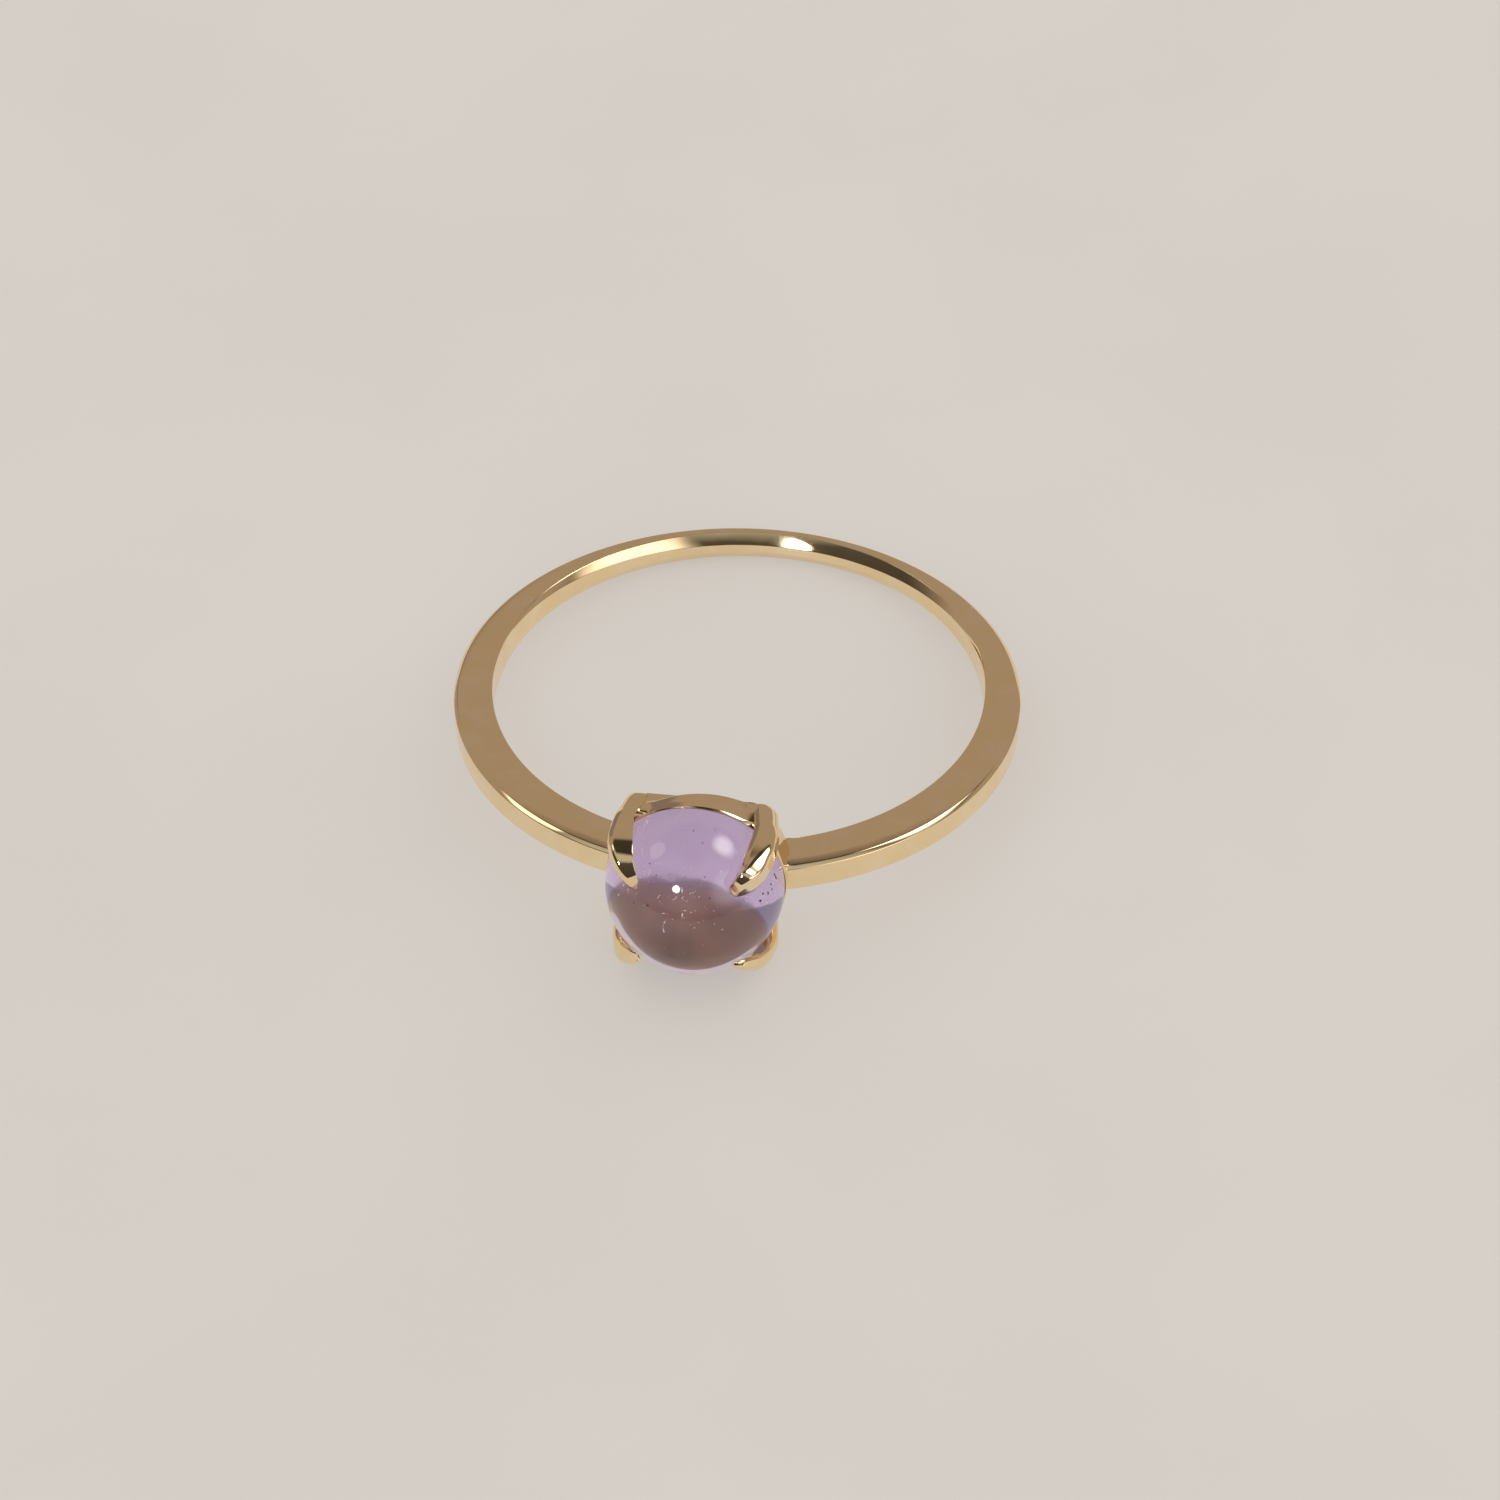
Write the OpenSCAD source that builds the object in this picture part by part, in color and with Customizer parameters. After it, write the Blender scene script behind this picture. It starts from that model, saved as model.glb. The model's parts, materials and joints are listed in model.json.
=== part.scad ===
// Finger ring: a slim band with one round cabochon held in a cup by four claws.
// It lies on its side, as such a ring rests on a table, on the rim of its cup and the
// back of its band. X is across the ring, the stone looks along -Y, and Z is up.
// The origin is under the middle of the ring, on the table. Lengths are millimetres.

/* [Finger hole] */
// Radius of the finger hole
hole_r = 8.65; // [8.4:0.05:9.5]

/* [Band] */
// Width of the band, along the finger
band_w = 1.1; // [1:0.05:1.4]
// Thickness of the band in front, under the cup
front_t = 1.45; // [1.3:0.05:1.6]
// Thickness of the band at its sides
side_t = 1.3; // [1.1:0.05:1.4]
// Thickness of the band at the back
back_t = 0.7; // [0.6:0.05:1]
// Bevel of the outer edges
edge_bevel = 0.13; // [0.05:0.01:0.15]
// Bevel of the inner edges at the back, where it is widest
comfort_back = 0.4; // [0.3:0.02:0.44]
// Bevel of the inner edges at the sides of the ring, towards which it narrows
comfort_side = 0.06; // [0.04:0.01:0.1]

/* [Stone] */
// Radius of the round cabochon
stone_r = 3; // [2.9:0.05:3.1]
// Distance of the stone's centre from the finger hole
stone_rise = 1.63; // [1.6:0.01:1.8]
// Depth of the stone behind its widest plane
stone_depth = 0.85; // [0.8:0.01:0.9]
// Radius of the stone's flat back
stone_back_r = 2.4; // [2.3:0.05:2.5]
// Gap all round the stone
stone_gap = 0.04; // [0.03:0.01:0.06]

/* [Cup] */
// Distance of the rim behind the stone's widest plane
rim_back = 0.35; // [0.3:0.01:0.4]
// Distance of the cup's back end behind that plane
cup_back = 1.4; // [1.35:0.01:1.5]
// Metal outside the stone at the rim
rim_t = 0.08; // [0.06:0.01:0.15]
// Radius of the cup at its back end
cup_back_r = 2.75; // [2.65:0.05:2.85]
// Half the width of the cup's back end, which is squared off between the claws
cup_square = 2.47; // [2.4:0.01:2.5]
// Radius of the open back
open_back_r = 2.1; // [1.8:0.05:2.2]

/* [Claws] */
// Half the thickness of a claw, across its flats
claw_half = 0.42; // [0.38:0.01:0.45]
// Distance of a claw's middle from the two planes through the stone's axis, at its widest
claw_side = 2.4; // [2.35:0.01:2.45]
// The same distance at the back end of the claw
claw_root = 2.1; // [2.05:0.01:2.15]

/* [Hidden] */
$fn = 96;

// The outline of the band is an ellipse, set towards the stone.
band_half_y = hole_r + (front_t + back_t) / 2;
band_centre_y = -(front_t - back_t) / 2;
band_half_x = (hole_r + side_t) / sqrt(1 - pow(band_centre_y / band_half_y, 2));
stone_y = hole_r + stone_rise;

// A claw's section is a square with round corners, standing on one corner. Its points
// follow a power of the sine and cosine: 1 gives a circle and 2 a sharp square.
claw_sides = 16;
corner_power = 1.5;
claw_corner = claw_half / sqrt(2) / pow(sqrt(0.5), corner_power);

// The claw's hook bends over the dome, a row for each section:
// [turn about the stone's centre, middle above the stone, height and width of the
// section as shares of the claw's own]
hook = [
    [8, 0.41, 1, 1],
    [16, 0.40, 0.97, 0.99],
    [24, 0.35, 0.88, 0.93],
    [31, 0.27, 0.74, 0.8],
    [37, 0.19, 0.56, 0.62],
    [41.5, 0.12, 0.38, 0.42],
    [44.5, 0.07, 0.2, 0.22]
];
// Sections along the claw's straight root
root_steps = 3;
// How far the cone that cuts the inner bevels ends inside the finger hole, at the back
comfort_overlap = 0.05;

// The ring touches the table with the cup's rim and the lower back edge of the band.
rim_r = stone_r + rim_t;
rim_y = stone_y - rim_back;
edge_low_y = hole_r + back_t - edge_bevel;
rest_tilt = atan((rim_r - band_w / 2) / (rim_y + edge_low_y));
rest_lift = rim_r * cos(rest_tilt) - rim_y * sin(rest_tilt);
front_end = stone_y * cos(rest_tilt) + stone_r;
back_end = (hole_r + back_t) * cos(rest_tilt) + (band_w / 2 - edge_bevel) * sin(rest_tilt);
rest_y = (front_end - back_end) / 2;

// One coordinate of a section's outline, with round corners
function eased(share) = sign(share) * pow(abs(share), corner_power);

// One section of a claw. The middle lies out from the stone's axis and forward of its
// widest plane, and the section turns with the hook.
function claw_section(out, forward, turn, high, wide) = [
    for (i = [0 : claw_sides - 1])
        let (
            a = 360 * i / claw_sides,
            up = high * eased(cos(a)),
            across = wide * eased(sin(a)),
            reach = out + up * cos(turn)
        )
        [(reach - across) / sqrt(2), (reach + across) / sqrt(2), forward + up * sin(turn)]
];

function root_sections() = [
    for (i = [0 : root_steps])
        let (share = i / root_steps)
        claw_section(
            (claw_root + (claw_side - claw_root) * share) * sqrt(2),
            -cup_back * (1 - share), 0, claw_corner, claw_corner
        )
];

function hook_sections() = [
    for (row = hook)
        claw_section(
            (stone_r + row[1]) * cos(row[0]), (stone_r + row[1]) * sin(row[0]),
            row[0], claw_corner * row[2], claw_corner * row[3]
        )
];

// Places a part of the head, modelled with the stone's axis upright, on the ring
module on_head() {
    translate([0, -stone_y, 0]) rotate([90, 0, 0]) children();
}

// Lays the finished ring on the table
module at_rest() {
    translate([0, rest_y, rest_lift]) rotate([-rest_tilt, 0, 0]) children();
}

// The cabochon: a dome over a short bevelled back. The same form, grown by the gap,
// is cut from the metal as the stone's seat.
module cabochon(grow) {
    bevel_slope = (sqrt(stone_r * stone_r - rim_back * rim_back) - stone_back_r)
        / (stone_depth - rim_back);
    bevel_h = stone_depth + stone_r + 1;
    back_r = stone_back_r + grow;
    intersection() {
        sphere(r = stone_r + grow);
        translate([0, 0, -stone_depth - grow])
            cylinder(h = bevel_h, r1 = back_r, r2 = back_r + bevel_h * bevel_slope);
    }
}

// One claw, from the back of the cup to its tip on the dome
module claw() {
    sections = concat(root_sections(), hook_sections());
    last = len(sections) - 1;
    polyhedron(
        points = [for (s = sections) each s],
        faces = concat(
            [[for (i = [0 : claw_sides - 1]) i]],
            [for (s = [0 : last - 1], i = [0 : claw_sides - 1])
                let (j = (i + 1) % claw_sides)
                [s * claw_sides + i, (s + 1) * claw_sides + i,
                 (s + 1) * claw_sides + j, s * claw_sides + j]],
            [[for (i = [claw_sides - 1 : -1 : 0]) last * claw_sides + i]]
        )
    );
}

// The cup: a round wall that narrows towards its open back, with flats between the
// claws that grow out of it
module cup_wall() {
    cup_h = cup_back - rim_back;
    translate([0, 0, -cup_back])
        difference() {
            union() {
                cylinder(h = cup_h, r1 = cup_back_r, r2 = rim_r);
                rotate([0, 0, 45])
                    cylinder(h = cup_h, r1 = cup_square * sqrt(2), r2 = stone_r, $fn = 4);
            }
            translate([0, 0, -1]) cylinder(h = cup_h + 2, r = open_back_r);
        }
}

// The band before its finger hole is cut
module band_blank() {
    half_w = band_w / 2;
    translate([0, band_centre_y, 0])
        scale([band_half_x / band_half_y, 1, 1])
            rotate_extrude()
                polygon([
                    [0, -half_w],
                    [band_half_y - edge_bevel, -half_w],
                    [band_half_y, -half_w + edge_bevel],
                    [band_half_y, half_w - edge_bevel],
                    [band_half_y - edge_bevel, half_w],
                    [0, half_w]
                ]);
}

// Bevels one inner edge of the band, most at the back where the band is thinnest. The
// cone stands off the finger hole's axis, so the bevel narrows towards the sides.
module comfort_cut() {
    cut_h = comfort_back + comfort_overlap;
    face_r = hole_r + comfort_side;
    translate([0, comfort_back - comfort_side, band_w / 2 - cut_h])
        cylinder(h = 2 * cut_h, r1 = face_r - cut_h, r2 = face_r + cut_h);
}

// Band, cup and claws are soldered and polished as one piece of metal.
module band_and_setting() {
    color("goldenrod")
        at_rest()
            difference() {
                union() {
                    band_blank();
                    on_head() cup_wall();
                    on_head() for (quarter = [0 : 3]) rotate([0, 0, 90 * quarter]) claw();
                }
                cylinder(h = 3 * band_w, r = hole_r, center = true);
                comfort_cut();
                mirror([0, 0, 1]) comfort_cut();
                on_head() cabochon(stone_gap);
            }
}

module amethyst_cabochon() {
    color("mediumpurple") at_rest() on_head() cabochon(0);
}

band_and_setting();
amethyst_cabochon();
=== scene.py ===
import json
from math import atan2, cos, hypot, pi, radians, sin, sqrt
from random import Random

import bmesh
import bpy
from mathutils import Matrix, Vector


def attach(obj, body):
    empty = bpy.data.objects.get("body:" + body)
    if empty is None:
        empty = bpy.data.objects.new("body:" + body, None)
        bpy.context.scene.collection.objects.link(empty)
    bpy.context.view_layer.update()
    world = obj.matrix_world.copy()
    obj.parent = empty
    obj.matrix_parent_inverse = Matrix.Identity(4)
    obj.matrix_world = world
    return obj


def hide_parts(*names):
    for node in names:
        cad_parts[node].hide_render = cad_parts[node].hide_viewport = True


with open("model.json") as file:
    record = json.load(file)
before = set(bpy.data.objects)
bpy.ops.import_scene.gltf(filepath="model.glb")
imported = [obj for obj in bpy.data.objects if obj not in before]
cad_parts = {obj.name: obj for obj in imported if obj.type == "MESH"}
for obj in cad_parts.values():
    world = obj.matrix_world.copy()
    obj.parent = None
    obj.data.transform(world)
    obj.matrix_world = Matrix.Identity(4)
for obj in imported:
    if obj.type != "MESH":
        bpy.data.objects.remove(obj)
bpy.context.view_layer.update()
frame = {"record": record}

# Band
# The band is a strip of gold-plated silver, turned to a ring, soldered and filed thinner towards
# the back. Its outer edges are broken, its faces roll off softly where they were buffed, and its
# inner edges are bevelled more and more towards the back.
finger_hole = frame["record"]["mounts"][0]
hole_r = finger_hole["dims"]["r_mm"]
band_w = 1.1
front_t = 1.45
side_t = 1.3
back_t = 0.7
outer_bevel = 0.13
edge_ease = 0.025
# The inner bevel at the back, along the face and down the hole, and at its narrowest
comfort_out = 0.28
comfort_down = 0.39
least_bevel = 0.03
# How far from the outer bevel a face starts to roll off, and by how much it drops
roll_off = 0.3
roll_drop = 0.035
# Where less than this would stay flat, the roll takes a share of the narrow face instead.
least_flat = 0.25
narrow_roll = 0.7
# Shares of the flat at which an extra line of points keeps it flat
flat_marks = (0.2, 0.45)
band_steps = 768
corner_steps = 4

# The ring is drawn in millimetres, with Z along the finger and the stone towards -Y. laid_down
# puts it on the table, in metres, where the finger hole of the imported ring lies.
mm = 0.001
along_finger = Vector(finger_hole["axis"])
ring_tilt = atan2(along_finger.y, along_finger.z)
laid_down = (
    Matrix.Translation(finger_hole["pos_m"])
    @ Vector((0, 0, 1)).rotation_difference(along_finger).to_matrix().to_4x4()
    @ Matrix.Scale(mm, 4)
)

# The outside of the band is an ellipse, set towards the stone.
half_y = hole_r + (front_t + back_t) / 2
centre_y = -(front_t - back_t) / 2
half_x = (hole_r + side_t) / sqrt(1 - (centre_y / half_y) ** 2)

# The stone, behind which the band has to stay: its widest plane is stone_y from the middle of
# the finger hole, and it rests rim_back behind that plane on the rim of its cup.
stone_r = 3
stone_depth = 0.85
stone_back_r = 2.4
stone_rise = 1.63
stone_y = hole_r + stone_rise
rim_back = 0.35
girdle_r = sqrt(stone_r ** 2 - rim_back ** 2)
seat_gap = 0.03

# The solder draws up in a fillet where the band meets the cup.
solder_x = 2.87
solder_r = 0.3
solder_h = 0.05


def seat_reach(back):
    """Radius of the stone's seat at a distance behind the stone's widest plane"""
    if back <= rim_back:
        return sqrt((stone_r + seat_gap) ** 2 - back ** 2)
    share = min(1, (back - rim_back) / (stone_depth - rim_back))
    return girdle_r + (stone_back_r - girdle_r) * share + seat_gap


def band_reach(turn):
    """Outer radius of the band at a turn from the stone"""
    across, along = sin(turn) / half_x, -cos(turn) / half_y
    square = across ** 2 + along ** 2
    middle = along * centre_y / half_y
    reach = (middle + sqrt(middle ** 2 - square * ((centre_y / half_y) ** 2 - 1))) / square
    # Inside the cup the band stays behind the stone and its sloping back edge.
    x = reach * sin(turn)
    slope = (stone_depth - rim_back) / (girdle_r - stone_back_r)
    back = stone_depth + seat_gap - max(0, abs(x) - stone_back_r - seat_gap) * slope
    if cos(turn) > 0 and abs(x) < stone_r:
        reach = min(reach, (stone_y - back) / cos(turn))
    return reach


def rounded(corners, steps):
    """A closed outline through corners, each a point and how far from it its rounding starts"""
    corners = [(Vector(point), ease) for point, ease in corners]
    points = []
    for i, (corner, ease) in enumerate(corners):
        before = corners[i - 1][0]
        after = corners[(i + 1) % len(corners)][0]
        start = corner + (before - corner).normalized() * ease
        end = corner + (after - corner).normalized() * ease
        for step in range(steps + 1):
            t = step / steps
            points.append((1 - t) ** 2 * start + 2 * t * (1 - t) * corner + t ** 2 * end)
    return points


def band_outline(turn):
    """The band's section at a turn from the stone: (distance from the finger's axis, height)"""
    top = band_w / 2
    reach = band_reach(turn)
    out = max(least_bevel, -comfort_out * cos(turn))
    down = max(least_bevel, -comfort_down * cos(turn))
    roll = roll_off
    if reach - hole_r < comfort_out + least_flat + roll_off + outer_bevel:
        roll = narrow_roll * (reach - hole_r - out - outer_bevel)
    flat_start = hole_r + out
    flat = reach - outer_bevel - roll - flat_start
    # Where the face is narrow, the roundings stay well short of the next corner.
    upper = [
        ((hole_r, top - down), edge_ease),
        ((flat_start, top), min(edge_ease, out / 3, flat / 10)),
        ((flat_start + flat * flat_marks[0], top), flat / 20),
        ((flat_start + flat * flat_marks[1], top), flat / 20),
        ((flat_start + flat, top), min(roll, flat) * 0.4),
        ((reach - outer_bevel, top - roll_drop), edge_ease),
        ((reach, top - outer_bevel), edge_ease),
    ]
    lower = [((r, -z), ease) for (r, z), ease in reversed(upper)]
    return rounded(upper + lower, corner_steps)


def spun(outline, steps, closed=True):
    """A bmesh spun round Z from an outline of (distance from Z, height); row numbers its points"""
    mesh = bmesh.new()
    row = mesh.verts.layers.int.new("row")
    points = []
    for i, (r, z) in enumerate(outline):
        point = mesh.verts.new((r, 0, z))
        point[row] = i
        points.append(point)
    edges = [mesh.edges.new(pair) for pair in zip(points, points[1:])]
    if closed:
        edges.append(mesh.edges.new((points[-1], points[0])))
    bmesh.ops.spin(
        mesh, geom=points + edges, axis=(0, 0, 1), cent=(0, 0, 0),
        angle=2 * pi, steps=steps, use_merge=True,
    )
    return mesh


def finished_piece(name, mesh, place, material, node):
    """Turns a drawn bmesh into a piece of the ring that stands for a node and rides with it"""
    mesh.transform(place)
    bmesh.ops.recalc_face_normals(mesh, faces=mesh.faces)
    data = bpy.data.meshes.new(name)
    mesh.to_mesh(data)
    mesh.free()
    data.shade_smooth()
    data.materials.append(material)
    piece = bpy.data.objects.new(name, data)
    bpy.context.scene.collection.objects.link(piece)
    even_light = piece.modifiers.new("flat faces stay flat", "WEIGHTED_NORMAL")
    even_light.keep_sharp = False
    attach(piece, "root")
    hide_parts(node)


band = spun(band_outline(pi / 2), band_steps)
row = band.verts.layers.int["row"]
sections = {}
for vertex in band.verts:
    turn = atan2(vertex.co.x, -vertex.co.y)
    step = round(turn / (2 * pi) * band_steps) % band_steps
    if step not in sections:
        sections[step] = band_outline(2 * pi * step / band_steps)
    r, z = sections[step][vertex[row]]
    x, y = r * sin(turn), -r * cos(turn)
    near_cup = 1 - (abs(x) - solder_x) / solder_r
    if y < 0 and near_cup > 0 and abs(z) > band_w / 2 - roll_drop - edge_ease:
        z += (solder_h if z > 0 else -solder_h) * min(1, near_cup) ** 2
    vertex.co = (x, y, z)


def feed(tree, socket, value):
    """Sets a shader socket in a node tree to a number or colour, or links it to another socket"""
    if isinstance(value, bpy.types.NodeSocket):
        tree.links.new(value, socket)
    else:
        socket.default_value = value


def noise_of(tree, vector, scale, detail=2.0, spread=0.5):
    """A noise texture, read at a vector"""
    noise = tree.nodes.new("ShaderNodeTexNoise")
    feed(tree, noise.inputs["Vector"], vector)
    feed(tree, noise.inputs["Scale"], scale)
    feed(tree, noise.inputs["Detail"], detail)
    feed(tree, noise.inputs["Roughness"], spread)
    return noise.outputs["Fac"]


def ranged(tree, value, low, high, to_low, to_high):
    """A value that goes smoothly from to_low, at low, to to_high, at high"""
    node = tree.nodes.new("ShaderNodeMapRange")
    node.interpolation_type = "SMOOTHSTEP"
    feed(tree, node.inputs["Value"], value)
    feed(tree, node.inputs["From Min"], low)
    feed(tree, node.inputs["From Max"], high)
    feed(tree, node.inputs["To Min"], to_low)
    feed(tree, node.inputs["To Max"], to_high)
    return node.outputs["Result"]


def mixed(tree, factor, a, b, blend="MIX"):
    """Colour a with a share of colour b mixed in or added"""
    node = tree.nodes.new("ShaderNodeMix")
    node.data_type = "RGBA"
    node.blend_type = blend
    # A Mix node has its two colour inputs at 6 and 7, and its colour output at 2.
    feed(tree, node.inputs["Factor"], factor)
    feed(tree, node.inputs[6], a)
    feed(tree, node.inputs[7], b)
    return node.outputs[2]


def maths(tree, operation, *values):
    """The result of a Math node"""
    node = tree.nodes.new("ShaderNodeMath")
    node.operation = operation
    for socket, value in zip(node.inputs, values):
        feed(tree, socket, value)
    return node.outputs[0]


def node_group(name, inputs, outputs):
    """A shader node group with its inputs (socket, name, value) and outputs (socket, name)"""
    group = bpy.data.node_groups.new(name, "ShaderNodeTree")
    for kind, title, value in inputs:
        socket = group.interface.new_socket(title, in_out="INPUT", socket_type=kind)
        if value is not None:
            socket.default_value = value
    for kind, title in outputs:
        group.interface.new_socket(title, in_out="OUTPUT", socket_type=kind)
    given = group.nodes.new("NodeGroupInput").outputs
    made = group.nodes.new("NodeGroupOutput").inputs
    return group, given, made


# Polished metal is never quite even: its faces ripple where they were buffed, the wheel leaves
# hairlines, and handling leaves duller smears. The group puts that on any gold of the ring.
hand_polish, given, made = node_group(
    "hand polish",
    [
        ("NodeSocketVector", "Position", None),
        ("NodeSocketColor", "Gold", (0.957, 0.758, 0.455, 1)),
        ("NodeSocketColor", "Pale gold", (0.97, 0.80, 0.53, 1)),
        ("NodeSocketFloat", "Bright roughness", 0.05),
        ("NodeSocketFloat", "Dull roughness", 0.1),
        ("NodeSocketFloat", "Hairlines", 0.3),
    ],
    [("NodeSocketColor", "Color"), ("NodeSocketFloat", "Roughness"), ("NodeSocketFloat", "Height")],
)
smear_scale = 0.9
ripple_scale = 0.8
hair_scale = 2.2
# Hairlines run round the ring: their noise is drawn out round it and crowded along the finger.
hair_stretch = (0.6, 0.6, 14)
hair_depth = 0.03

smears = ranged(hand_polish, noise_of(hand_polish, given["Position"], smear_scale, 3), 0.4, 0.7, 0, 1)
ripple = noise_of(hand_polish, given["Position"], ripple_scale, 1)
stretched = hand_polish.nodes.new("ShaderNodeMapping")
feed(hand_polish, stretched.inputs["Vector"], given["Position"])
feed(hand_polish, stretched.inputs["Scale"], hair_stretch)
hairs = noise_of(hand_polish, stretched.outputs["Vector"], hair_scale, 4, 0.7)
hairs = maths(hand_polish, "MULTIPLY", ranged(hand_polish, hairs, 0.62, 0.72, 0, 1), given["Hairlines"])
dulled = maths(hand_polish, "ADD", smears, hairs)
rough = ranged(hand_polish, dulled, 0, 1, given["Bright roughness"], given["Dull roughness"])
height = maths(hand_polish, "SUBTRACT", ripple, maths(hand_polish, "MULTIPLY", hairs, hair_depth))
feed(hand_polish, made["Color"], mixed(hand_polish, smears, given["Gold"], given["Pale gold"]))
feed(hand_polish, made["Roughness"], rough)
feed(hand_polish, made["Height"], height)


def new_material(name):
    """A material, with its node tree, its shader and the Object coordinates in it"""
    material = bpy.data.materials.new(name)
    material.use_nodes = True
    tree = material.node_tree
    where = tree.nodes.new("ShaderNodeTexCoord").outputs["Object"]
    return material, tree, tree.nodes["Principled BSDF"], where


def bumped(tree, shader, height, depth):
    """Lets a height from 0 to 1 raise the surface by up to a depth in millimetres"""
    bump = tree.nodes.new("ShaderNodeBump")
    feed(tree, bump.inputs["Height"], height)
    feed(tree, bump.inputs["Distance"], depth * mm)
    feed(tree, shader.inputs["Normal"], bump.outputs["Normal"])


def gold_finish(name, ripple_h, finish):
    """A new gold material, whose hand polish is read in millimetres and turned with the ring"""
    material, tree, shader, where = new_material(name)
    in_mm = tree.nodes.new("ShaderNodeMapping")
    feed(tree, in_mm.inputs["Vector"], where)
    feed(tree, in_mm.inputs["Scale"], (1 / mm, 1 / mm, 1 / mm))
    feed(tree, in_mm.inputs["Rotation"], (ring_tilt, 0, 0))
    polish = tree.nodes.new("ShaderNodeGroup")
    polish.node_tree = hand_polish
    feed(tree, polish.inputs["Position"], in_mm.outputs["Vector"])
    for title, value in finish.items():
        feed(tree, polish.inputs[title], value)
    feed(tree, shader.inputs["Metallic"], 1)
    feed(tree, shader.inputs["Base Color"], polish.outputs["Color"])
    feed(tree, shader.inputs["Roughness"], polish.outputs["Roughness"])
    bumped(tree, shader, polish.outputs["Height"], ripple_h)
    return material, tree, shader, where


band_gold, _, _, _ = gold_finish("polished_gold", 0.01, {"Hairlines": 0.2})
finished_piece("band", band, laid_down, band_gold, "band_and_setting")

# Cup
# A short cup, cast in the band's metal, holds the stone by its girdle. Behind its round wall a
# square foot, level with the claws, narrows to the open back, which is soldered to the band.
cup_waist = 1.1
cup_waist_r = 3.04
waist_ease = 0.07
cup_back = 1.4
cup_back_r = 2.6
cup_step = 0.12
open_back_r = 2.1
cup_ease = 0.06
# The wall is thinnest at the rim, and a little hollowed behind it.
rim_t = 0.04
rim_bevel = 0.055
rim_lip = 0.005
rim_ease = 0.004
wall_hollow = 0.02
wall_ease = 0.1
# The ledge inside, behind the stone
ledge_gap = 0.14
ledge_ease = 0.02
# The square foot: half its width at the back and at the rim, and the limit of its corners
foot_side = 2.58
foot_at_rim = 2.38
foot_curve = 1.5
square_sharpness = 26
corner_reach = 3.15
corner_flare = 0.3
# Solder fills the corners between the foot and the claws, to a little under their faces. It
# starts and is full at these distances along the foot, and leaves this share bare at the rim.
fillet_start = 1.5
fillet_full = 2
fillet_under = 0.05
fillet_bare = 0.85
# The wall was filed longer on one side, and below it slopes with the table its rim rests on.
waist_slant = 0.16
wall_slope = 0.15
# The square claws lean out from the foot to the rim; one is slimmer.
claw_half = 0.42
claw_side = 2.4
claw_root = 2.18
slim = 0.17
# Points of the cup further than this outside the stone's seat belong to its outer side.
skin = 0.015
cup_steps = 512

# The head, which is cup, claws and stone, is drawn with the stone's axis upright and the middle
# of the stone's widest plane at the origin.
on_head = laid_down @ Matrix.Translation((0, -stone_y, 0)) @ Matrix.Rotation(pi / 2, 4, "X")

cup = spun(
    rounded(
        [
            ((open_back_r, -cup_back), cup_ease),
            ((cup_back_r, -cup_back), cup_ease),
            ((cup_back_r, -cup_waist - cup_step), waist_ease),
            ((cup_waist_r, -cup_waist), waist_ease),
            ((stone_r + rim_t - wall_hollow, -(rim_back + cup_waist) / 2), wall_ease),
            ((stone_r + rim_t, -rim_back - rim_bevel), rim_ease),
            ((seat_reach(rim_back) - rim_lip, -rim_back), rim_ease),
            ((stone_back_r + seat_gap, -stone_depth - ledge_gap), ledge_ease),
            ((open_back_r, -stone_depth - ledge_gap), ledge_ease),
        ],
        corner_steps * 2,
    ),
    cup_steps,
)
inside = cup.verts.layers.float.new("inside")
for vertex in cup.verts:
    x, y, z = vertex.co
    r = hypot(x, y)
    if r <= seat_reach(-z) + skin:
        vertex[inside] = 1 if z < -rim_back - skin else 0
    else:
        to_rim = (z + cup_back) / (cup_back - rim_back)
        slope = min(abs(x), abs(y)) / max(abs(x), abs(y))
        foot = foot_side + (foot_at_rim - foot_side) * to_rim ** foot_curve
        claw_top = claw_side + claw_half + (claw_side - claw_root) * z / cup_back
        if x < 0 < y < -x:
            # The claw above it, on the left, is the slim one.
            claw_top -= slim
        filled = (slope * claw_top - fillet_start) / (fillet_full - fillet_start)
        filled = min(1, max(0, filled))
        filled = filled ** 2 * (3 - 2 * filled) * (1 - fillet_bare * max(0, to_rim) ** 3)
        foot += max(0, claw_top - fillet_under - foot) * filled
        flat_r = foot * sqrt(1 + slope ** 2)
        grow = (1 + (flat_r / r) ** square_sharpness) ** (1 / square_sharpness)
        grow = min(grow, max(1, (corner_reach + corner_flare * to_rim) / r))
        if y > 0:
            z -= waist_slant * x * 4 * to_rim * (1 - to_rim)
        low = stone_r + rim_t - wall_slope * (-z - rim_back)
        vertex.co = (x * grow, max(y * grow, -low), z)


def attribute_of(tree, name):
    """A value that a mesh keeps at its vertices"""
    node = tree.nodes.new("ShaderNodeAttribute")
    node.attribute_name = name
    return node.outputs["Fac"]


# Where the polishing wheel can't reach, behind the stone, the cup stays rough and stained, and its
# colour there is also darkened as painted shade.
unpolished_rough = 0.6
head_gold, tree, shader, where = gold_finish(
    "cast_gold", 0.012, {"Bright roughness": 0.045, "Dull roughness": 0.09}
)
hidden = attribute_of(tree, "inside")
stains = ranged(tree, noise_of(tree, where, 700, 3, 0.6), 0.35, 0.65, 0, 1)
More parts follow.
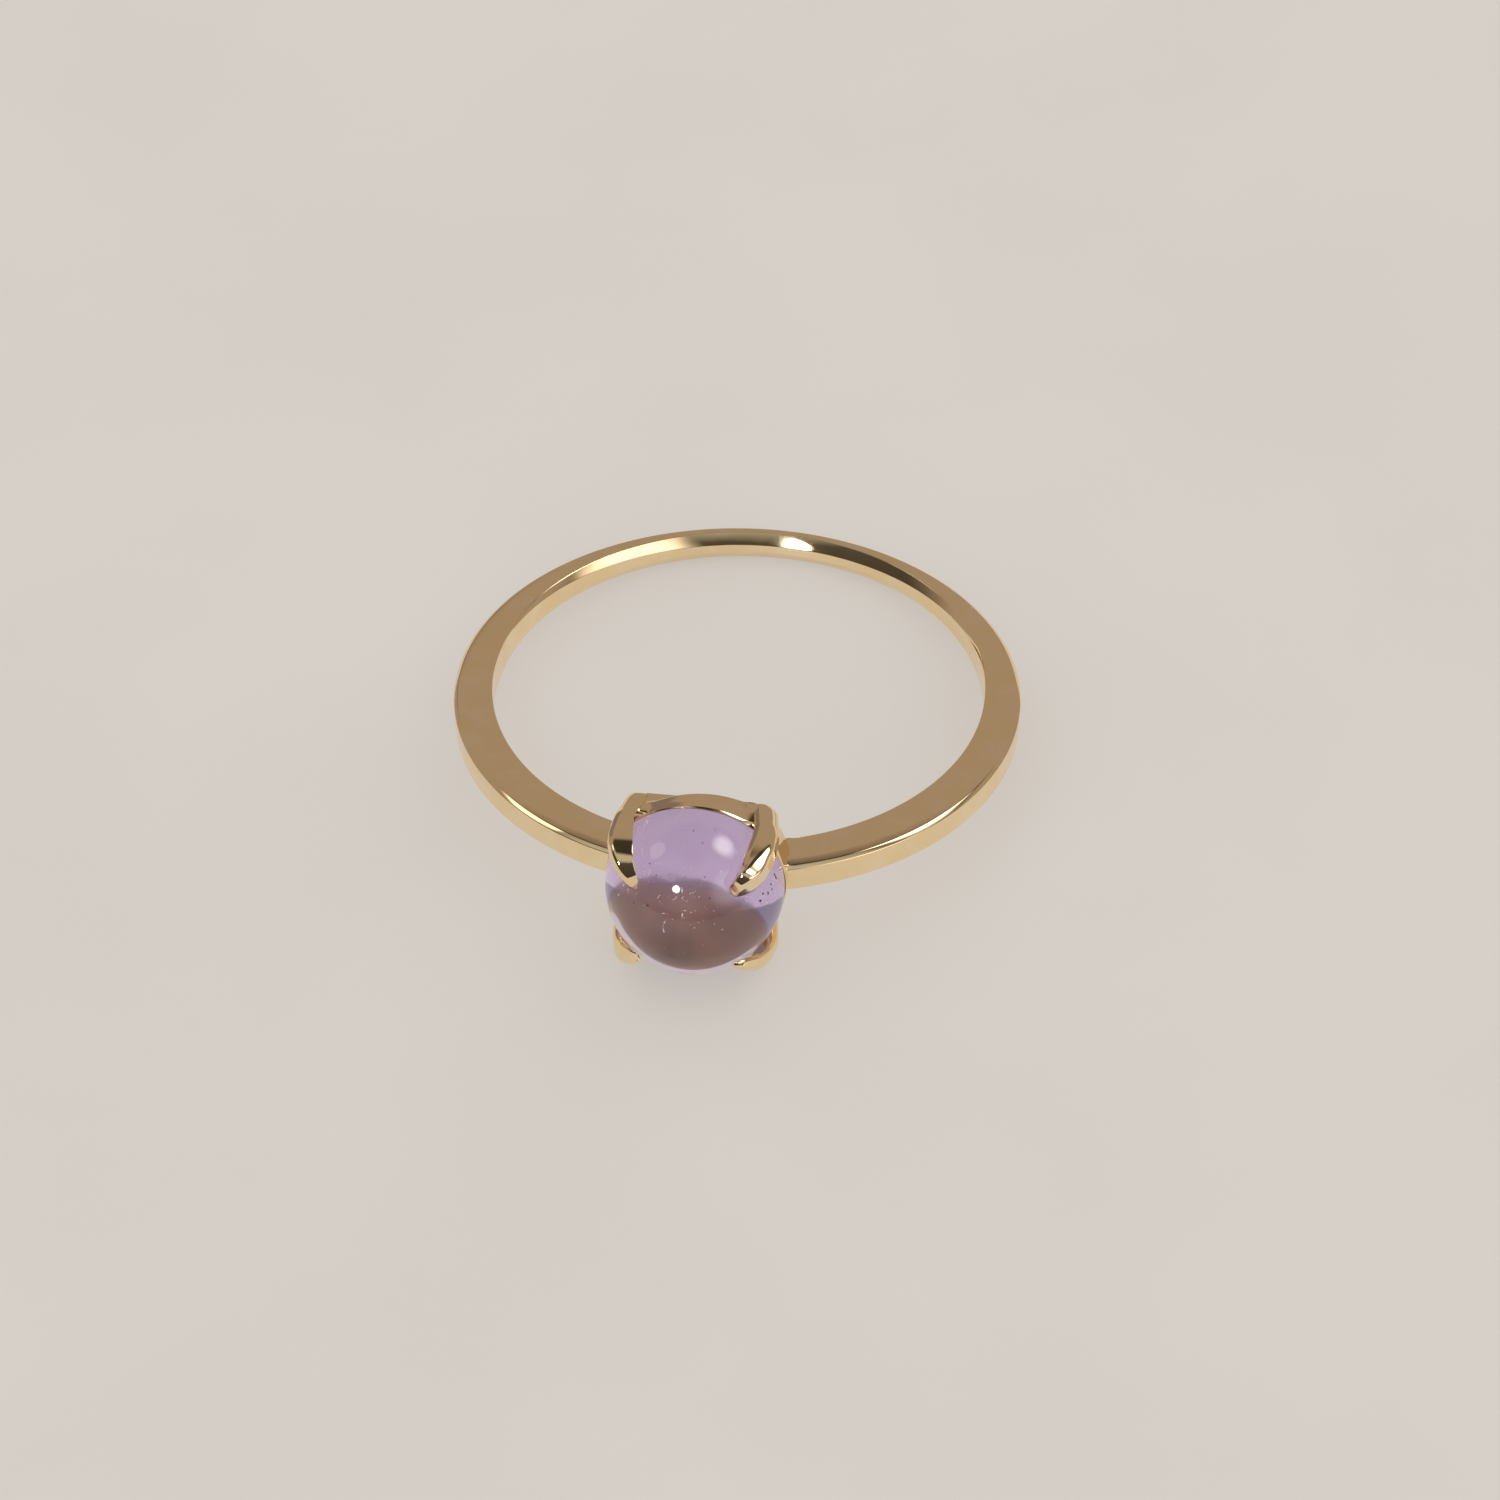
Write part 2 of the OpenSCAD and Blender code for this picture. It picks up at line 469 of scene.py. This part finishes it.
# Painted shade: these dark browns stand for the shade in the seat behind the stone as well as for its
# dull, stained metal.
unpolished_and_shaded = mixed(tree, stains, (0.42, 0.31, 0.24, 1), (0.72, 0.54, 0.36, 1))
colour = shader.inputs["Base Color"].links[0].from_socket
rough = shader.inputs["Roughness"].links[0].from_socket
feed(tree, shader.inputs["Base Color"], mixed(tree, hidden, colour, unpolished_and_shaded))
feed(tree, shader.inputs["Roughness"], ranged(tree, hidden, 0, 1, rough, unpolished_rough))
finished_piece("cup", cup, on_head, head_gold, "band_and_setting")

# Claws
# Four claws of square wire stand at the cup's corners. Each was bent over the dome, filed and
# polished by hand, so they differ: one is pointed, one is broad and the two below are round.
bends = {
    # Each row has the inner top, outer top, top outer, low outer and low inner corner of a
    # section: how far across and up each stands from the stone's axis, and how far forward
    "broad": [
        (1.98, 2.82, 0.00, 2.60, 2.82, 0.00, 2.82, 2.60, 0.00, 2.82, 1.98, 0.00, 1.98, 1.98, 0.00),
        (1.97, 2.82, 0.45, 2.61, 2.82, 0.45, 2.82, 2.66, 0.45, 2.82, 1.98, 0.40, 1.98, 1.98, 0.35),
        (1.93, 2.81, 0.85, 2.62, 2.81, 0.85, 2.80, 2.69, 0.90, 2.80, 1.92, 0.72, 1.94, 1.88, 0.60),
        (1.88, 2.75, 1.25, 2.46, 2.79, 1.24, 2.70, 2.63, 1.36, 2.72, 1.80, 1.08, 1.84, 1.75, 0.95),
        (1.82, 2.62, 1.58, 2.25, 2.74, 1.60, 2.62, 2.53, 1.72, 2.56, 1.64, 1.42, 1.74, 1.60, 1.30),
        (1.72, 2.42, 1.88, 2.02, 2.65, 1.95, 2.47, 2.45, 2.03, 2.34, 1.50, 1.70, 1.62, 1.50, 1.60),
        (1.60, 2.20, 2.07, 1.86, 2.59, 2.18, 2.22, 2.38, 2.29, 2.09, 1.40, 1.88, 1.52, 1.46, 1.80),
        (1.51, 1.99, 2.10, 1.68, 2.26, 2.31, 1.94, 2.10, 2.42, 1.85, 1.38, 1.99, 1.48, 1.48, 1.93),
        (1.46, 1.82, 2.10, 1.56, 1.92, 2.20, 1.74, 1.80, 2.31, 1.72, 1.46, 2.12, 1.50, 1.58, 2.02),
        (1.49, 1.70, 2.16, 1.55, 1.74, 2.21, 1.63, 1.68, 2.25, 1.62, 1.56, 2.19, 1.53, 1.60, 2.13),
    ],
    "pointed": [
        (1.98, 2.82, 0.00, 2.46, 2.82, 0.00, 2.66, 2.74, 0.00, 2.66, 1.98, 0.00, 1.98, 1.98, 0.00),
        (1.94, 2.82, 0.50, 2.51, 2.82, 0.50, 2.71, 2.74, 0.50, 2.69, 1.98, 0.45, 1.93, 1.97, 0.40),
        (1.89, 2.82, 0.95, 2.54, 2.82, 0.95, 2.73, 2.73, 0.93, 2.68, 1.98, 0.85, 1.87, 1.93, 0.75),
        (1.83, 2.80, 1.36, 2.51, 2.80, 1.37, 2.69, 2.66, 1.34, 2.60, 1.84, 1.20, 1.82, 1.85, 1.10),
        (1.77, 2.67, 1.75, 2.44, 2.67, 1.75, 2.58, 2.47, 1.68, 2.46, 1.68, 1.50, 1.76, 1.74, 1.40),
        (1.72, 2.48, 1.99, 2.31, 2.46, 2.01, 2.42, 2.25, 1.94, 2.28, 1.54, 1.72, 1.69, 1.63, 1.62),
        (1.65, 2.26, 2.12, 2.15, 2.22, 2.18, 2.25, 2.03, 2.11, 2.07, 1.43, 1.89, 1.62, 1.55, 1.82),
        (1.58, 2.02, 2.19, 1.94, 1.97, 2.28, 2.03, 1.82, 2.22, 1.88, 1.38, 2.02, 1.56, 1.48, 1.97),
        (1.54, 1.79, 2.19, 1.75, 1.76, 2.28, 1.83, 1.63, 2.25, 1.73, 1.38, 2.10, 1.54, 1.43, 2.07),
        (1.57, 1.62, 2.17, 1.63, 1.63, 2.22, 1.68, 1.53, 2.20, 1.66, 1.42, 2.14, 1.57, 1.42, 2.12),
        (1.59, 1.52, 2.15, 1.62, 1.52, 2.17, 1.64, 1.49, 2.17, 1.63, 1.46, 2.15, 1.60, 1.46, 2.14),
    ],
    "round": [
        (1.98, 2.80, 0.00, 2.50, 2.80, 0.00, 2.80, 2.50, 0.00, 2.80, 1.98, 0.00, 1.98, 1.98, 0.00),
        (1.96, 2.78, 0.45, 2.46, 2.76, 0.45, 2.74, 2.46, 0.45, 2.78, 1.96, 0.40, 1.94, 1.95, 0.38),
        (1.93, 2.66, 0.86, 2.40, 2.64, 0.86, 2.66, 2.38, 0.85, 2.72, 1.90, 0.75, 1.90, 1.90, 0.70),
        (1.88, 2.48, 1.22, 2.32, 2.45, 1.25, 2.56, 2.24, 1.22, 2.60, 1.80, 1.10, 1.84, 1.80, 1.00),
        (1.80, 2.26, 1.53, 2.18, 2.22, 1.60, 2.40, 2.06, 1.55, 2.42, 1.66, 1.42, 1.76, 1.70, 1.30),
        (1.70, 2.02, 1.79, 2.00, 1.97, 1.88, 2.18, 1.86, 1.82, 2.20, 1.52, 1.68, 1.66, 1.60, 1.58),
        (1.60, 1.80, 1.98, 1.82, 1.75, 2.08, 1.94, 1.66, 2.04, 1.96, 1.42, 1.90, 1.57, 1.52, 1.80),
        (1.54, 1.64, 2.06, 1.66, 1.62, 2.14, 1.72, 1.55, 2.13, 1.74, 1.42, 2.06, 1.53, 1.48, 1.97),
        (1.57, 1.54, 2.07, 1.61, 1.53, 2.10, 1.63, 1.51, 2.10, 1.63, 1.48, 2.08, 1.58, 1.49, 2.06),
    ],
}
# The straight root: how far behind the stone's widest plane a section lies, and its share of
# the claw's full thickness
root_sections = ((1.36, 0.95), (1.345, 0.985), (1.31, 1), (1.25, 1), (1.1, 1), (0.8, 1), (0.4, 1))
# This far behind that plane and further, the outer side of the root is filed round.
filed_behind = 1
# A fuller claw has its whole extra height this far in front of that plane.
full_before = 1.2
# The inner bevel takes at most this share of the upper side, and less of the inner side than
# of the upper one. A rounding takes at most its share of the side that it starts on.
bevel_share = 0.4
bevel_inward = 0.4
ease_share = 0.45
row_steps = 8
claw_corner_steps = 10


def smooth_rows(rows, steps):
    """Rows between the given ones, on a smooth curve through them"""
    rows = [Vector(numbers) for numbers in rows]
    between = []
    for i in range(len(rows) - 1):
        a, b, c, d = rows[max(i - 1, 0)], rows[i], rows[i + 1], rows[min(i + 2, len(rows) - 1)]
        for step in range(steps):
            t = step / steps
            between.append(
                (2 * b + (c - a) * t + (2 * a - 5 * b + 4 * c - d) * t ** 2
                 + (3 * b - a - 3 * c + d) * t ** 3) / 2
            )
    return between + [rows[-1]]


def claw_section(numbers, bevel, corner_eases):
    """One section of a claw through its corners, rounded, its inner side cut to the seat"""
    corners = [Vector(numbers[i:i + 3]) for i in range(0, len(numbers), 3)]
    # The inner top corner becomes the two corners of a narrow bevel.
    inner, outer, before = corners[0], corners[1], corners[-1]
    bevel = min(bevel, bevel_share * (outer - inner).length)
    corners[0] = inner + (before - inner).normalized() * bevel * bevel_inward
    corners.insert(1, inner + (outer - inner).normalized() * bevel)
    eased = []
    for i, corner in enumerate(corners):
        after = corners[(i + 1) % len(corners)]
        room = min((corner - corners[i - 1]).length, (corner - after).length)
        eased.append((corner, min(corner_eases[i], ease_share * room)))
    points = rounded(eased, claw_corner_steps)
    for point in points:
        least = seat_reach(-point.z) if point.z > -stone_depth else 0
        r = hypot(point.x, point.y)
        if r < least:
            point.x, point.y = point.x * least / r, point.y * least / r
    return points


# All claws are drawn at the upper right, and side and up mirror them to their corner. Filed is
# how far the back end is rounded, slimmer and fuller are metal taken off the outer side and left
# on the upper one, and the last two are the inner bevel and where the rounding of each of a
# section's six corners starts.
for name, side, up, bend, filed, slimmer, fuller, bevel, corner_eases in (
    ("claw_upper_right", 1, 1, "broad", 0.33, 0, 0, 0.18, (0.1, 0.04, 0.2, 0.16, 0.26, 0.1)),
    ("claw_upper_left", -1, 1, "pointed", 0.12, slim, 0, 0.02, (0.01, 0.01, 0.2, 0.13, 0.2, 0.1)),
    ("claw_lower_left", -1, -1, "round", 0.33, 0, 0.2, 0.1, (0.1, 0.1, 0.28, 0.28, 0.26, 0.1)),
    ("claw_lower_right", 1, -1, "round", 0.33, 0, 0, 0.1, (0.1, 0.1, 0.28, 0.28, 0.26, 0.1)),
):
    _, _, _, top_x, top_y, _, outer_x, outer_y = bends[bend][0][:8]
    cut_x, cut_y = outer_x - top_x, top_y - outer_y
    root = []
    for back, size in root_sections:
        # The claw leans in towards its back end.
        middle = claw_side - (claw_side - claw_root) * back / cup_back
        near, high = middle - claw_half * size, middle + claw_half * size
        round_off = max(0, back - filed_behind) / (cup_back - filed_behind)
        far = high - slimmer - filed * (1 - sqrt(1 - round_off ** 2))
        corners = ((near, high), (far - cut_x, high), (far, high - cut_y), (far, near), (near, near))
        root.append([value for x, y in corners for value in (x, y, -back)])
    rows = smooth_rows(root + bends[bend], row_steps)
    for numbers in rows:
        # The three upper corners of a fuller claw stand higher.
        for i in (1, 4, 7):
            numbers[i] += fuller * min(1, max(0, numbers[i + 1]) / full_before)
    claw = bmesh.new()
    first = [claw.verts.new(point) for point in claw_section(rows[0], bevel, corner_eases)]
    face = [claw.faces.new(first)]
    for i, numbers in enumerate(rows[1:]):
        drawn = bmesh.ops.extrude_face_region(claw, geom=face)["geom"]
        if i > 0:
            bmesh.ops.delete(claw, geom=face, context="FACES_ONLY")
        face = [part for part in drawn if isinstance(part, bmesh.types.BMFace)]
        for vertex, point in zip(face[0].verts, claw_section(numbers, bevel, corner_eases)):
            vertex.co = point
    mirrored = on_head @ Matrix.Diagonal((side, up, 1, 1))
    finished_piece(name, claw, mirrored, head_gold, "band_and_setting")

# Stone
# The stone is a round amethyst cabochon, cut and polished to a dome. Its short bevel and its
# flat back run softly into each other, and the claws hold it by its girdle.
dome_steps = 96
back_steps = 12
stone_steps = 256
back_ease = 0.5
# The back is cut this much out of square.
back_slope = 0.04
# The lilac of the clear stone, and how fast light takes it on, for each metre
amethyst_colour = (0.676, 0.423, 0.884, 1)
amethyst_density = 140
back_rough = 0.09
back_waves_h = 0.02

girdle_turn = -atan2(rim_back, girdle_r)
profile = []
for i in range(dome_steps + 1):
    rise = pi / 2 + (girdle_turn - pi / 2) * i / dome_steps
    profile.append(Vector((stone_r * cos(rise), stone_r * sin(rise))))
back_corners = [
    ((girdle_r, -rim_back), 0),
    ((stone_back_r, -stone_depth), back_ease),
    ((stone_back_r / 2, -stone_depth), 0),
    ((0, -stone_depth), 0),
]
# The dome already ends at the first corner, whose points are left out.
for point in rounded(back_corners, back_steps)[back_steps + 1:]:
    if (point - profile[-1]).length > 0.01:
        profile.append(point)
stone = spun([(max(r, 0), z) for r, z in profile], stone_steps, closed=False)
bmesh.ops.remove_doubles(stone, verts=stone.verts, dist=1e-5)
depth = stone.verts.layers.float.new("depth")
for vertex in stone.verts:
    back = -vertex.co.z
    vertex[depth] = back
    vertex.co.z -= back_slope * vertex.co.y * max(0, back - rim_back) / (stone_depth - rim_back)

amethyst, tree, shader, where = new_material("amethyst")
feed(tree, shader.inputs["Base Color"], (1, 1, 1, 1))
feed(tree, shader.inputs["IOR"], 1.544)
feed(tree, shader.inputs["Transmission Weight"], 1)
# The dome is clear, and the flat back is finished by hand, a little duller and wavy.
behind = attribute_of(tree, "depth")
feed(tree, shader.inputs["Roughness"], ranged(tree, behind, rim_back, rim_back + 0.03, 0, back_rough))
waves = noise_of(tree, where, 900, 2)
bumped(tree, shader, ranged(tree, behind, rim_back, stone_depth - 0.1, 0.5, waves), back_waves_h)
absorb = tree.nodes.new("ShaderNodeVolumeAbsorption")
feed(tree, absorb.inputs["Color"], amethyst_colour)
feed(tree, absorb.inputs["Density"], amethyst_density)
feed(tree, tree.nodes["Material Output"].inputs["Volume"], absorb.outputs["Volume"])
finished_piece("cabochon", stone, on_head, amethyst, "amethyst_cabochon")

# Flaws in the stone
# Amethyst carries healed cracks, veils of tiny flat bubbles, and a few dark crystals. Here they
# are loose flakes and grains, most of them under the upper half of the dome, and none is much
# more than a tenth of a millimetre across. One cluster of dark grains, at the right of the dome, is
# painted reflection.
chance = Random(7)
# How many veils and single bubbles there are, the (middle, spread) of their places across and up
# the dome, and the range of their levels: 1 is on the dome and 0 at its middle
veil_count = 16
veil_places = ((-0.1, 1.0), (1.2, 0.55), (0.86, 0.98))
bubble_count = 90
bubble_places = ((0, 1.3), (1.0, 0.9), (0.7, 0.98))
# A veil's number of flakes, their distance, and how much its run turns at each of them
veil_flakes = (4, 11)
veil_step = (0.02, 0.045)
veil_turn = 0.004
flake_r = (0.012, 0.035)
bubble_r = (0.01, 0.03)
flake_sides = 6
# The groups of crystals: the middle of each across and up, its spread, number and largest radius. The
# first group, at the right edge of the dome, is painted reflection: dark grains that stand in for small
# dark reflections there.
crystal_and_reflection_groups = (
    (2.72, 0.95, 0.17, 10, 0.065),
    (0.5, 2.2, 0.5, 7, 0.045),
    (-0.6, 1.9, 0.6, 6, 0.045),
)
crystal_level = 0.97
# The flaws stay this near the stone's axis, below this level and out of the core.
flaw_reach = 2.97
flake_level = 0.985
core_r = 1

glowing_pale_veil, tree, shader, where = new_material("healed_crack")
shine = mixed(tree, noise_of(tree, where, 900, 2), (0.75, 0.7, 0.78, 1), (0.98, 0.95, 1, 1))
feed(tree, shader.inputs["Base Color"], shine)
feed(tree, shader.inputs["Roughness"], 0.35)
# The flakes glow faintly although nothing lights them: painted light, so that they show pale inside the
# dark stone.
feed(tree, shader.inputs["Emission Color"], (1, 0.94, 1, 1))
feed(tree, shader.inputs["Emission Strength"], 0.4)

# Dark grains: those of the first group are painted reflection, the others crystals.
dark_grain_and_reflection, tree, shader, where = new_material("dark_crystal")
rust = mixed(tree, noise_of(tree, where, 900, 2), (0.03, 0.02, 0.05, 1), (0.09, 0.05, 0.08, 1))
feed(tree, shader.inputs["Base Color"], rust)
feed(tree, shader.inputs["Roughness"], 0.5)


def any_way():
    """A random direction"""
    return Vector([chance.gauss(0, 1) for _ in range(3)])


def flake(mesh, middle, radius):
    """A tiny flat flake in the stone, facing a random way"""
    turned = Vector((0, 0, 1)).rotation_difference(any_way()).to_matrix().to_4x4()
    squeezed = Matrix.Diagonal((1, chance.uniform(0.3, 1), 1, 1))
    bmesh.ops.create_circle(
        mesh, cap_ends=True, segments=flake_sides, radius=radius,
        matrix=Matrix.Translation(middle) @ turned @ squeezed,
    )


def in_stone(across, up, level):
    """A point in the stone, at a level under the place (across, up) on its dome"""
    limit = min(1, flaw_reach / hypot(across, up))
    across, up = across * limit, up * limit
    forward = sqrt(stone_r ** 2 - across ** 2 - up ** 2)
    return Vector((across, up, forward)) * level


def any_spot(across, up, levels):
    """A random point in the stone, by the middle and spread of its place and a range of levels"""
    return in_stone(chance.gauss(*across), chance.gauss(*up), chance.uniform(*levels))


veils = bmesh.new()
for _ in range(veil_count):
    # A veil is a short bent row of flakes.
    spot = any_spot(*veil_places)
    run = any_way().normalized() * chance.uniform(*veil_step)
    bend_by = any_way() * veil_turn
    for _ in range(chance.randint(*veil_flakes)):
        if spot.length < stone_r * flake_level:
            flake(veils, spot, chance.uniform(*flake_r))
        spot += run
        run += bend_by
for _ in range(bubble_count):
    spot = any_spot(*bubble_places)
    if spot.length > core_r:
        flake(veils, spot, chance.uniform(*bubble_r))
finished_piece("healed_cracks", veils, on_head, glowing_pale_veil, "amethyst_cabochon")

crystals = bmesh.new()
for across, up, spread, count, largest in crystal_and_reflection_groups:
    for _ in range(count):
        spot = in_stone(chance.gauss(across, spread), chance.gauss(up, spread), crystal_level)
        size = largest * chance.uniform(0.5, 1)
        squeezed = Matrix.Diagonal((1, chance.uniform(0.5, 1), 1, 1))
        bmesh.ops.create_icosphere(
            crystals, subdivisions=1, radius=size, matrix=Matrix.Translation(spot) @ squeezed
        )
finished_piece("dark_crystals", crystals, on_head, dark_grain_and_reflection, "amethyst_cabochon")

# Table
# The ring lies on a plain pale table. Its top is a translucent sheet, lit softly from below as
# well, so the ring throws hardly any shadow.
table_half_m = 3
sheet = bmesh.new()
bmesh.ops.create_grid(sheet, x_segments=1, y_segments=1, size=table_half_m)
data = bpy.data.meshes.new("table")
sheet.to_mesh(data)
sheet.free()
pale_table, tree, shader, where = new_material("pale_table")
feed(tree, shader.inputs["Base Color"], (0.235, 0.22, 0.205, 1))
feed(tree, shader.inputs["Roughness"], 0.5)
feed(tree, shader.inputs["Specular IOR Level"], 0.2)
clouds = ranged(tree, noise_of(tree, where, 60, 3), 0.3, 0.7, 0, 1)
lit_below = mixed(tree, clouds, (0.435, 0.402, 0.366, 1), (0.45, 0.42, 0.388, 1))
feed(tree, shader.inputs["Emission Color"], lit_below)
feed(tree, shader.inputs["Emission Strength"], 1)
data.materials.append(pale_table)
table = bpy.data.objects.new("table", data)
bpy.context.scene.collection.objects.link(table)

# Studio light
# Mirror-bright metal and the stone see a brown wall behind them, a dark ceiling, a soft window,
# a small lamp, a pale board and a low bright wall. Rough surfaces see an even light tent alone.
dark = (0.04, 0.033, 0.025, 1)
dim = (0.05, 0.042, 0.035, 1)
brown = (0.37, 0.30, 0.25, 1)
pale = (0.5, 0.48, 0.44, 1)
mauve = (0.23, 0.178, 0.195, 1)
tent_glow = (0.95, 0.95, 0.95, 1)
# The colours of the surroundings by height angle, in degrees, behind the ring and before it
behind_ring = ((0, brown), (40, brown), (54, dim), (90, dark))
before_ring = (
    (0, (0.05, 0.04, 0.035, 1)), (40, (0.08, 0.07, 0.06, 1)), (52, pale), (68, pale), (80, dark),
)
# One passes into the other over this share of the depth on each side of the ring.
side_blend = 0.25
# An oval has the turn of its middle from straight behind the ring to its right, its height
# angle, half its width and height, all in degrees, and the softness of its edge. A mauve screen
# stands behind the ring on the left, and the wall is dark round the window.
screen_oval = (-33, 14, 15, 13, 0.3)
dark_oval = (52, 54, 38, 20, 0.25)
# The bright ovals also have a colour, and the share of it that is seen through the stone.
glows = (
    (59, 53, 19, 11, 0.6, (7, 6.8, 6.5, 1), 0.1),  # window
    (-159, 38, 6, 4.8, 0.2, (26, 25, 24, 1), 0.012),  # lamp
    (-81, 45, 14, 10, 0.2, (1.3, 1.25, 1.2, 1), 1),  # pale board
    (120, 28, 26, 19, 0.4, (1.6, 1.5, 1.45, 1), 0.5),  # low bright wall
)
# Through the stone, the surroundings look paler and more even.
seen_through = (0.42, 0.4, 0.43, 1)
seen_through_share = 0.6

world = bpy.data.worlds.new("studio")
bpy.context.scene.world = world
world.use_nodes = True
# Rough surfaces see the same glow all round, so the surroundings need no sampling of their own.
world.cycles.sampling_method = "NONE"
studio = world.node_tree
split = studio.nodes.new("ShaderNodeSeparateXYZ")
feed(studio, split.inputs[0], studio.nodes.new("ShaderNodeTexCoord").outputs["Generated"])
turn_of = maths(studio, "ARCTAN2", split.outputs["X"], split.outputs["Y"])
turn_of = maths(studio, "DEGREES", turn_of)
rise_of = maths(studio, "DEGREES", maths(studio, "ARCSINE", split.outputs["Z"]))
seen_by = studio.nodes.new("ShaderNodeLightPath").outputs
through_stone = seen_by["Is Transmission Ray"]


def wall_and_ceiling(stops):
    """The colour of the surroundings at a height angle"""
    ramp = studio.nodes.new("ShaderNodeValToRGB")
    elements = ramp.color_ramp.elements
    while len(elements) < len(stops):
        elements.new(0.5)
    for element, (rise, colour) in zip(elements, stops):
        element.position = rise / 90
        element.color = colour
    feed(studio, ramp.inputs[0], maths(studio, "DIVIDE", rise_of, 90))
    return ramp.outputs["Color"]


def oval(turn, rise, half_turn, half_rise, soft):
    """The share of an oval in what is seen, 1 inside it and 0 outside"""
    across = maths(studio, "DIVIDE", maths(studio, "SUBTRACT", turn_of, turn), half_turn)
    along = maths(studio, "DIVIDE", maths(studio, "SUBTRACT", rise_of, rise), half_rise)
    across, along = maths(studio, "POWER", across, 2), maths(studio, "POWER", along, 2)
    away = maths(studio, "SQRT", maths(studio, "ADD", across, along))
    return ranged(studio, away, 1 - soft, 1 + soft, 1, 0)


behind = ranged(studio, split.outputs["Y"], -side_blend, side_blend, 0, 1)
surroundings = mixed(studio, behind, wall_and_ceiling(before_ring), wall_and_ceiling(behind_ring))
surroundings = mixed(studio, oval(*screen_oval), surroundings, mauve)
surroundings = mixed(studio, oval(*dark_oval), surroundings, dim)
for turn, rise, half_turn, half_rise, soft, colour, through in glows:
    seen = maths(studio, "MULTIPLY_ADD", through_stone, through - 1, 1)
    seen = maths(studio, "MULTIPLY", seen, oval(turn, rise, half_turn, half_rise, soft))
    surroundings = mixed(studio, seen, surroundings, colour, "ADD")
evened = maths(studio, "MULTIPLY", through_stone, seen_through_share)
surroundings = mixed(studio, evened, surroundings, seen_through)
tent = maths(studio, "MAXIMUM", seen_by["Is Camera Ray"], seen_by["Is Diffuse Ray"])
background = studio.nodes["Background"]
feed(studio, background.inputs["Color"], mixed(studio, tent, surroundings, tent_glow))

# Camera
# The camera looks down at the ring's flank from in front and a little from the right. It stands
# well away behind a long lens, so the far side of the ring looks hardly smaller.
camera_distance = 137.86
camera_rise = radians(39.22)
camera_turn = radians(8)
# It aims at a point to the right and in front of the finger's axis, as it sees them.
aim = (0.398, -3.797, 0)
camera = bpy.data.cameras.new("camera")
camera.lens = 96
camera.sensor_width = 36
camera.clip_start = 0.01
camera.clip_end = 20
eye = bpy.data.objects.new("camera", camera)
bpy.context.scene.collection.objects.link(eye)
view = (
    laid_down
    @ Matrix.Translation((0, 0, band_w / 2))
    @ Matrix.Rotation(camera_turn, 4, "Z")
    @ Matrix.Translation(aim)
    @ Matrix.Rotation(pi / 2 - camera_rise, 4, "X")
    @ Matrix.Translation((0, 0, camera_distance))
)
place, turned, _ = view.decompose()
eye.matrix_world = Matrix.Translation(place) @ turned.to_matrix().to_4x4()
bpy.context.scene.camera = eye
bpy.context.scene.view_settings.view_transform = "Standard"
